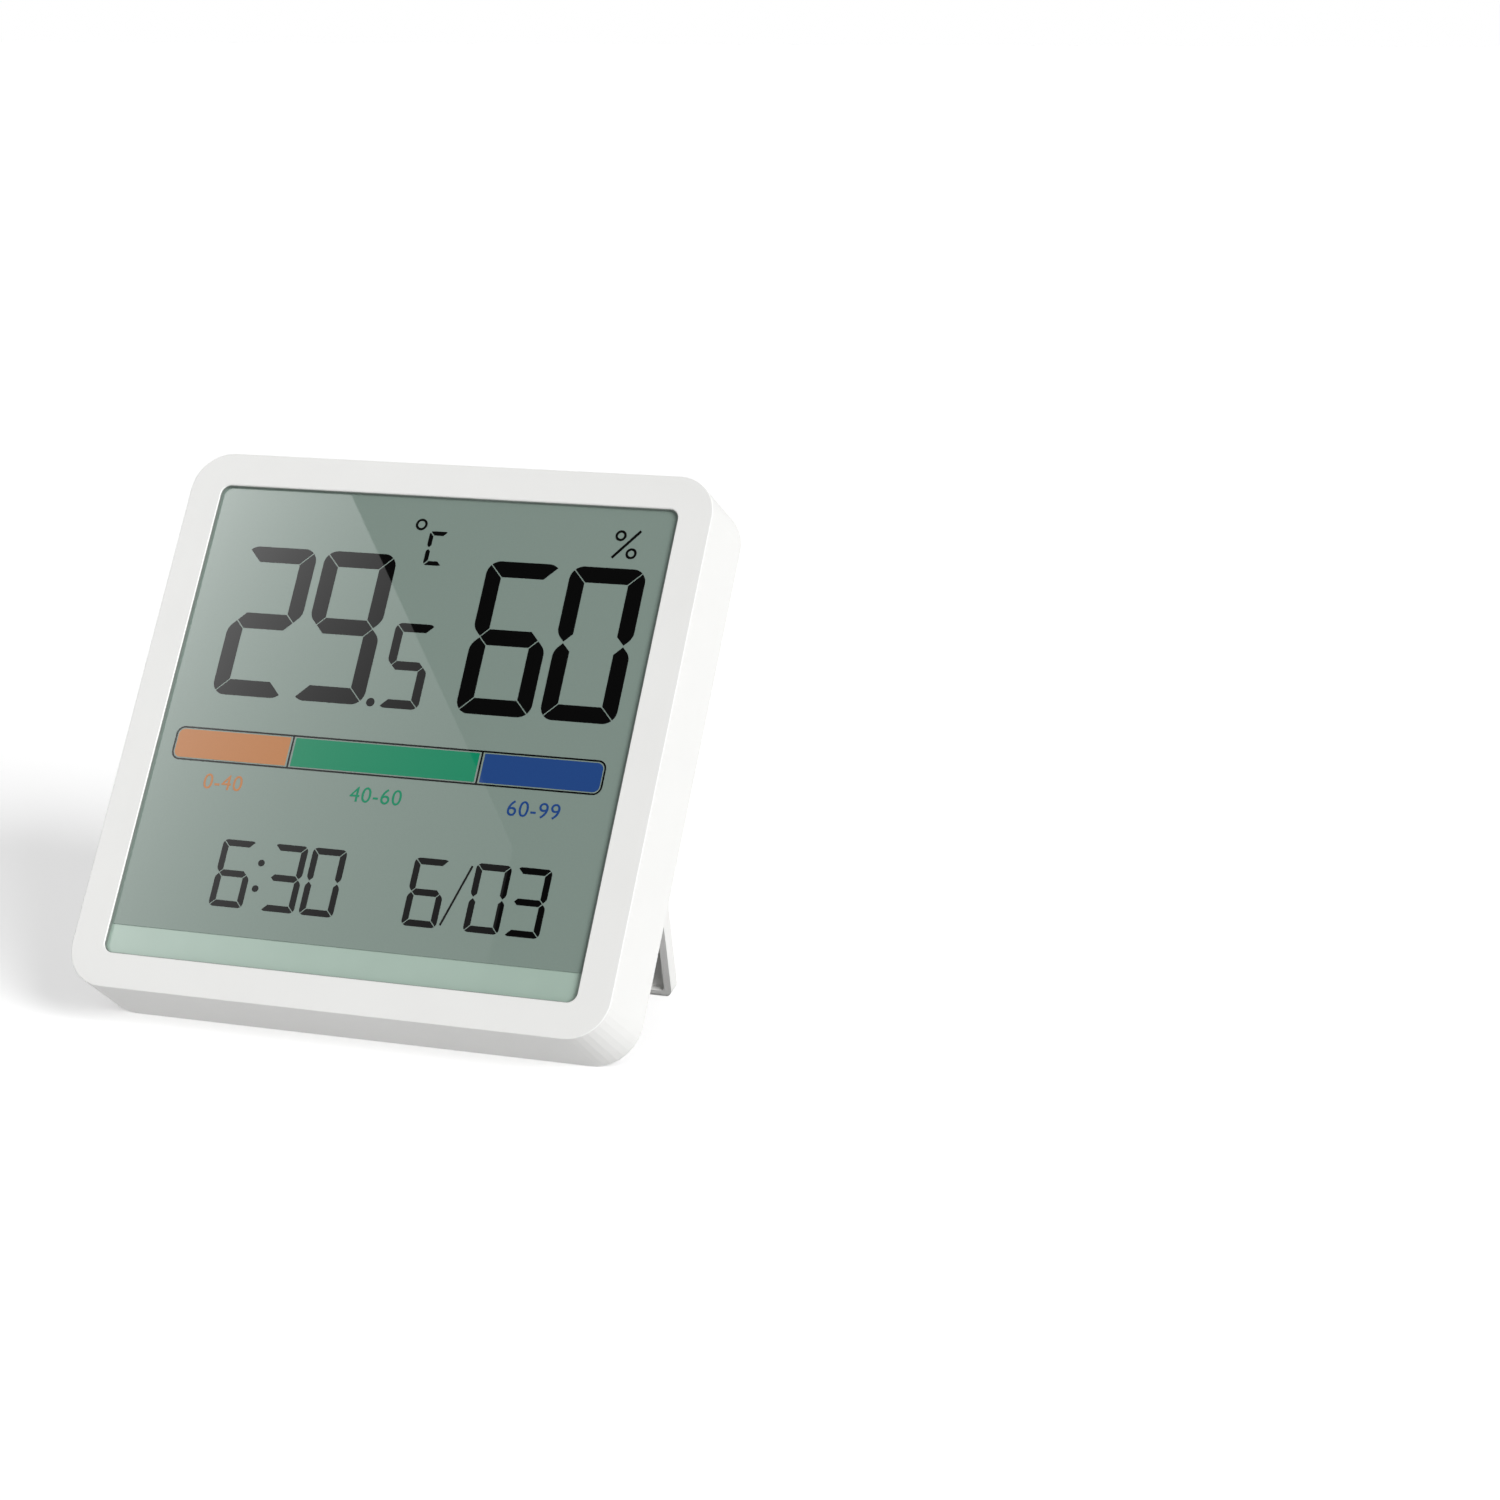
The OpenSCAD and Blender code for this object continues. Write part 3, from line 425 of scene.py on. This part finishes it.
clock = bmesh.new()
for character, left in TIME:
    figure(clock, character, left, CLOCK_LOW, CLOCK)
for height in COLON_HEIGHTS:
    plate(clock, circle((COLON_ACROSS, height), COLON_RADIUS))
piece("clock_figures", clock, INK)

date = bmesh.new()
for character, left in DATE:
    figure(date, character, left, CLOCK_LOW, CLOCK)
plate(date, stroke(*DATE_SLASH, DATE_SLASH_WIDTH))
piece("date_figures", date, INK)

degrees = bmesh.new()
band(degrees, *(circle(DEGREE_AT, radius) for radius in DEGREE_RADII))
figure(degrees, "C", UNIT_LEFT, UNIT_LOW, UNIT)
piece("degree_sign", degrees, INK)

percent = bmesh.new()
for centre in PERCENT_AT:
    band(percent, *(circle(centre, radius) for radius in PERCENT_RADII))
plate(percent, stroke(*PERCENT_SLASH, PERCENT_SLASH_WIDTH))
piece("percent_sign", percent, INK)

# Bar with three zones under the figures: its outline, its line and the zones' inset from the outline
BAR_LEFT, BAR_RIGHT = -34.06, 33.22
BAR_LOW, BAR_HIGH = -6.39, -1.25
BAR_RADIUS = 1.3
BAR_LINE = 0.25
BAR_INSET = 0.42
BAR_DIVIDERS = (-15.2, 14.37)
ZONE_RADIUS = 0.95

bar = bmesh.new()
inner = (BAR_LEFT + BAR_LINE, BAR_LOW + BAR_LINE, BAR_RIGHT - BAR_LINE, BAR_HIGH - BAR_LINE)
band(bar, rounded_box(BAR_LEFT, BAR_LOW, BAR_RIGHT, BAR_HIGH, (BAR_RADIUS,) * 4),
     rounded_box(*inner, (BAR_RADIUS - BAR_LINE,) * 4))
for across in BAR_DIVIDERS:
    plate(bar, stroke((across, BAR_LOW + BAR_LINE), (across, BAR_HIGH - BAR_LINE), BAR_LINE))
piece("bar_frame", bar, INK)

# Radii of a zone's low right, high right, high left and low left corners
SQUARE = 0.05
ROUND_LEFT = (SQUARE, SQUARE, ZONE_RADIUS, ZONE_RADIUS)
ROUND_NOWHERE = (SQUARE,) * 4
ROUND_RIGHT = (ZONE_RADIUS, ZONE_RADIUS, SQUARE, SQUARE)
# Each zone: name, colour, left and right limit, radii, numbers and the middle of the numbers
ZONES = (
    ("low", srgb(190, 128, 80), BAR_LEFT, BAR_DIVIDERS[0], ROUND_LEFT, "0-40", -24.66),
    ("middle", srgb(22, 137, 99), *BAR_DIVIDERS, ROUND_NOWHERE, "40-60", -0.36),
    ("high", srgb(39, 73, 133), BAR_DIVIDERS[1], BAR_RIGHT, ROUND_RIGHT, "60-99", 23.84),
)
# Height of the numbers' middle on the face, and of the numbers themselves
NUMBER_MIDDLE = -9.27
NUMBER_HEIGHT = 2.3
# Spacing of the characters, 1 for the type's own
NUMBER_SPACE = 1.08


def numbers(name, text, centre, material):
    """A line of plain numbers on the face, centred at a place."""
    curve = bpy.data.curves.new(name, "FONT")
    curve.body = text
    curve.align_x = "CENTER"
    curve.space_character = NUMBER_SPACE
    letters = bpy.data.objects.new(name, curve)
    scene.collection.objects.link(letters)
    bpy.context.view_layer.update()
    flat = bpy.data.meshes.new_from_object(letters.evaluated_get(bpy.context.evaluated_depsgraph_get()))
    bpy.data.objects.remove(letters)
    mesh = bmesh.new()
    mesh.from_mesh(flat)
    heights = [v.co.y for v in mesh.verts]
    low, high = min(heights), max(heights)
    middle = (low + high) / 2
    scale = NUMBER_HEIGHT / (high - low)
    for vertex in mesh.verts:
        across, height = centre + vertex.co.x * scale, NUMBER_MIDDLE + (vertex.co.y - middle) * scale
        vertex.co = (across, height, PLATE_BACK)
    raised = bmesh.ops.extrude_face_region(mesh, geom=mesh.faces[:])["geom"]
    bmesh.ops.translate(mesh, vec=(0, 0, PLATE_FRONT - PLATE_BACK),
                        verts=[part for part in raised if isinstance(part, bmesh.types.BMVert)])
    piece(name, mesh, material)


for name, colour, left, right, radii, text, centre in ZONES:
    tint = display_film(f"zone_{name}", colour, PRINT_SPECULAR)
    zone = bmesh.new()
    zone_low, zone_high = BAR_LOW + BAR_INSET, BAR_HIGH - BAR_INSET
    plate(zone, rounded_box(left + BAR_INSET, zone_low, right - BAR_INSET, zone_high, radii))
    piece(f"bar_zone_{name}", zone, tint)
    numbers(f"bar_numbers_{name}", text, centre, tint)


# Studio: a soft dome, a white floor, a dark card below it and two lamps

FLOOR_SHADE = (0.9, 0.9, 0.9, 1)
WHITE_LIGHT = (1, 1, 1, 1)


def light_path_white(tree):
    """1 for rays of the camera and for those of gloss and glass, which all show the white background."""
    path = tree.nodes.new("ShaderNodeLightPath")
    total = None
    for ray in ("Is Camera Ray", "Is Glossy Ray", "Is Transmission Ray"):
        if total is None:
            total = path.outputs[ray]
            continue
        larger = tree.nodes.new("ShaderNodeMath")
        larger.operation = "MAXIMUM"
        tree.links.new(total, larger.inputs[0])
        tree.links.new(path.outputs[ray], larger.inputs[1])
        total = larger.outputs[0]
    return total


def dome(above, below):
    """Even light all around, with one strength above the horizon and one below it."""
    world = bpy.data.worlds.new("studio")
    world.use_nodes = True
    tree = world.node_tree
    light = tree.nodes["Background"]
    light.inputs["Color"].default_value = WHITE_LIGHT
    direction = tree.nodes.new("ShaderNodeTexCoord")
    parts = tree.nodes.new("ShaderNodeSeparateXYZ")
    upward = tree.nodes.new("ShaderNodeMath")
    upward.operation = "GREATER_THAN"
    upward.inputs[1].default_value = 0.0
    strength = tree.nodes.new("ShaderNodeMapRange")
    strength.inputs["To Min"].default_value = below
    strength.inputs["To Max"].default_value = above
    tree.links.new(direction.outputs["Generated"], parts.inputs[0])
    tree.links.new(parts.outputs["Z"], upward.inputs[0])
    tree.links.new(upward.outputs[0], strength.inputs["Value"])
    tree.links.new(strength.outputs["Result"], light.inputs["Strength"])
    white = tree.nodes.new("ShaderNodeBackground")
    white.inputs["Color"].default_value = WHITE_LIGHT
    mix = tree.nodes.new("ShaderNodeMixShader")
    tree.links.new(light_path_white(tree), mix.inputs["Fac"])
    tree.links.new(light.outputs[0], mix.inputs[1])
    tree.links.new(white.outputs[0], mix.inputs[2])
    tree.links.new(mix.outputs[0], tree.nodes["World Output"].inputs["Surface"])
    scene.world = world


def stage_plate(name, corners, faces, material):
    """A piece of the studio, which isn't part of the object."""
    data = bpy.data.meshes.new(name)
    data.from_pydata(corners, [], faces)
    data.materials.append(material)
    made = bpy.data.objects.new(name, data)
    scene.collection.objects.link(made)
    return made


def white_floor(reach, glow):
    """Floor, with its reach in metres, that keeps the shadow and lets the dome's light through from below.

    A glow lifts it to white, only for the rays that show it.
    """
    material = bpy.data.materials.new("floor_white")
    material.use_nodes = True
    tree = material.node_tree
    shade = tree.nodes["Principled BSDF"]
    shade.inputs["Base Color"].default_value = FLOOR_SHADE
    shade.inputs["Roughness"].default_value = 1.0
    shade.inputs["Specular IOR Level"].default_value = 0.0
    light = tree.nodes.new("ShaderNodeEmission")
    strength = tree.nodes.new("ShaderNodeMath")
    strength.operation = "MULTIPLY"
    strength.inputs[1].default_value = glow
    both = tree.nodes.new("ShaderNodeAddShader")
    tree.links.new(light_path_white(tree), strength.inputs[0])
    tree.links.new(strength.outputs[0], light.inputs["Strength"])
    tree.links.new(shade.outputs[0], both.inputs[0])
    tree.links.new(light.outputs[0], both.inputs[1])
    tree.links.new(both.outputs[0], tree.nodes["Material Output"].inputs["Surface"])
    corners = [(x * reach, y * reach, 0) for x, y in ((-1, -1), (1, -1), (1, 1), (-1, 1))]
    floor = stage_plate("floor", corners, [(0, 1, 2, 3)], material)
    floor.visible_diffuse = False
    floor.visible_shadow = False


def shade_card(left, front, right, back, depth):
    """Dark card under the floor, which keeps the dome's light from the space before the stand."""
    material = bpy.data.materials.new("shade_dark")
    material.use_nodes = True
    shade = material.node_tree.nodes["Principled BSDF"]
    shade.inputs["Base Color"].default_value = (0, 0, 0, 1)
    shade.inputs["Specular IOR Level"].default_value = 0.0
    outline = ((left, front), (right, front), (right, back), (left, back))
    corners = [(x * MM, y * MM, -depth * MM) for x, y in outline]
    made = stage_plate("shade_card", corners, [(0, 1, 2, 3)], material)
    made.visible_camera = False
    made.visible_glossy = False


def sun(name, place, spread, level, shines):
    """Soft lamp in a direction, with its spread in degrees. A white surface that faces it gets the level.

    Gloss shows it only if it shines.
    """
    data = bpy.data.lights.new(name, "SUN")
    data.energy = level * math.pi
    data.angle = math.radians(spread)
    lamp = bpy.data.objects.new(name, data)
    lamp.rotation_euler = (-Vector(place)).to_track_quat("-Z", "Y").to_euler()
    lamp.visible_glossy = shines
    scene.collection.objects.link(lamp)


scene.view_settings.view_transform = "Standard"
dome(above=0.3, below=0.49)
white_floor(reach=6.0, glow=0.42)
shade_card(left=-42, front=-17.5, right=42, back=14.5, depth=0.5)
sun("key", place=(0.768, -0.429, 0.477), spread=28, level=0.82, shines=True)
sun("front", place=(0.0, -0.95, 0.3), spread=60, level=0.065, shines=False)

# Camera: the place it looks at and its distance in metres, and its angles
AIM = Vector((0.04606, 0.01686, 0.03749))
DISTANCE = 0.4706
AZIMUTH = math.radians(20.25)
ELEVATION = math.radians(13.32)
ROLL = math.radians(-0.26)
# Sensor and lens in millimetres, and the nearest distance in metres that the camera shows
SENSOR = 36.0
LENS = 78.98
NEAREST = 0.01

camera_data = bpy.data.cameras.new("camera")
camera_data.sensor_width = SENSOR
camera_data.lens = LENS
camera_data.clip_start = NEAREST
camera = bpy.data.objects.new("camera", camera_data)
flat_share = math.cos(ELEVATION)
toward = Vector((math.sin(AZIMUTH) * flat_share, -math.cos(AZIMUTH) * flat_share, math.sin(ELEVATION)))
camera.location = AIM + toward * DISTANCE
camera.rotation_euler = ((-toward).to_track_quat("-Z", "Y") @ Quaternion((0, 0, 1), ROLL)).to_euler()
scene.collection.objects.link(camera)
scene.camera = camera

# Cards that only reflections show, where the camera finds them mirrored in the display

# Distances of the softbox and the flag from the display, in metres
CARD_AWAY = 0.6
FLAG_AWAY = 0.65
camera_mirrored = camera.location - 2 * OUT * OUT.dot(camera.location - face_middle)
card_normal = (face_middle - camera_mirrored).normalized()


def mirrored(across, height, away):
    """Where the sight line that is mirrored at a place of the display meets a card, in metres."""
    sight = FACE @ Vector((across, height, 0)) - camera_mirrored
    reach = (face_middle - camera_mirrored).length + away
    return camera_mirrored + sight * reach / sight.dot(card_normal)


def card(name, corners, faces, material):
    made = stage_plate(name, corners, faces, material)
    made.visible_camera = False
    made.visible_diffuse = False
    made.visible_transmission = False
    made.visible_shadow = False
    return made


def glowing(name, attribute):
    """Plain emission whose strength is an attribute of the mesh."""
    material = bpy.data.materials.new(name)
    material.use_nodes = True
    tree = material.node_tree
    light = tree.nodes.new("ShaderNodeEmission")
    level = tree.nodes.new("ShaderNodeAttribute")
    level.attribute_name = attribute
    tree.links.new(level.outputs["Fac"], light.inputs["Strength"])
    tree.links.new(light.outputs[0], tree.nodes["Material Output"].inputs["Surface"])
    return material


# Softbox, by what it covers of the display: its right edge runs straight from the top to the low right
EDGE_TOP = Vector((-15.6, 36.5))
EDGE_LOW = Vector((22.0, -14.8))
BOX_LEFT = -60.0
BOX_HIGH = 60.0
BOX_LOW = -60.0
BOX_STEPS = 24
# Its glow, the place of full strength at the top left, and how far across and down it fades
GLOW = 5.5
GLOW_AT = Vector((-35.0, 35.2))
GLOW_FADE = Vector((28.0, 85.0))


def softbox():
    slope = (EDGE_LOW.x - EDGE_TOP.x) / (EDGE_LOW.y - EDGE_TOP.y)
    corners, levels, faces = [], [], []
    for row in range(BOX_STEPS + 1):
        height = BOX_HIGH + (BOX_LOW - BOX_HIGH) * row / BOX_STEPS
        edge = min(EDGE_TOP.x + (height - EDGE_TOP.y) * slope, EDGE_LOW.x)
        for column in range(BOX_STEPS + 1):
            across = BOX_LEFT + (edge - BOX_LEFT) * column / BOX_STEPS
            corners.append(mirrored(across, height, CARD_AWAY))
            fade = (across - GLOW_AT.x) / GLOW_FADE.x + (GLOW_AT.y - height) / GLOW_FADE.y
            levels.append(GLOW * math.exp(-fade))
    for row in range(BOX_STEPS):
        for column in range(BOX_STEPS):
            first = row * (BOX_STEPS + 1) + column
            faces.append((first, first + 1, first + BOX_STEPS + 2, first + BOX_STEPS + 1))
    made = card("softbox", corners, faces, glowing("softbox_glow", "glow"))
    made.data.attributes.new("glow", "FLOAT", "POINT").data.foreach_set("value", levels)


# Flag: a dark card behind the softbox, which has no glow of its own
FLAG_HALF = 260.0
flag_signs = ((-1, -1), (1, -1), (1, 1), (-1, 1))
flag_corners = [mirrored(x * FLAG_HALF, y * FLAG_HALF, FLAG_AWAY) for x, y in flag_signs]
card("flag", flag_corners, [(0, 1, 2, 3)], glowing("flag_dark", "glow"))
softbox()
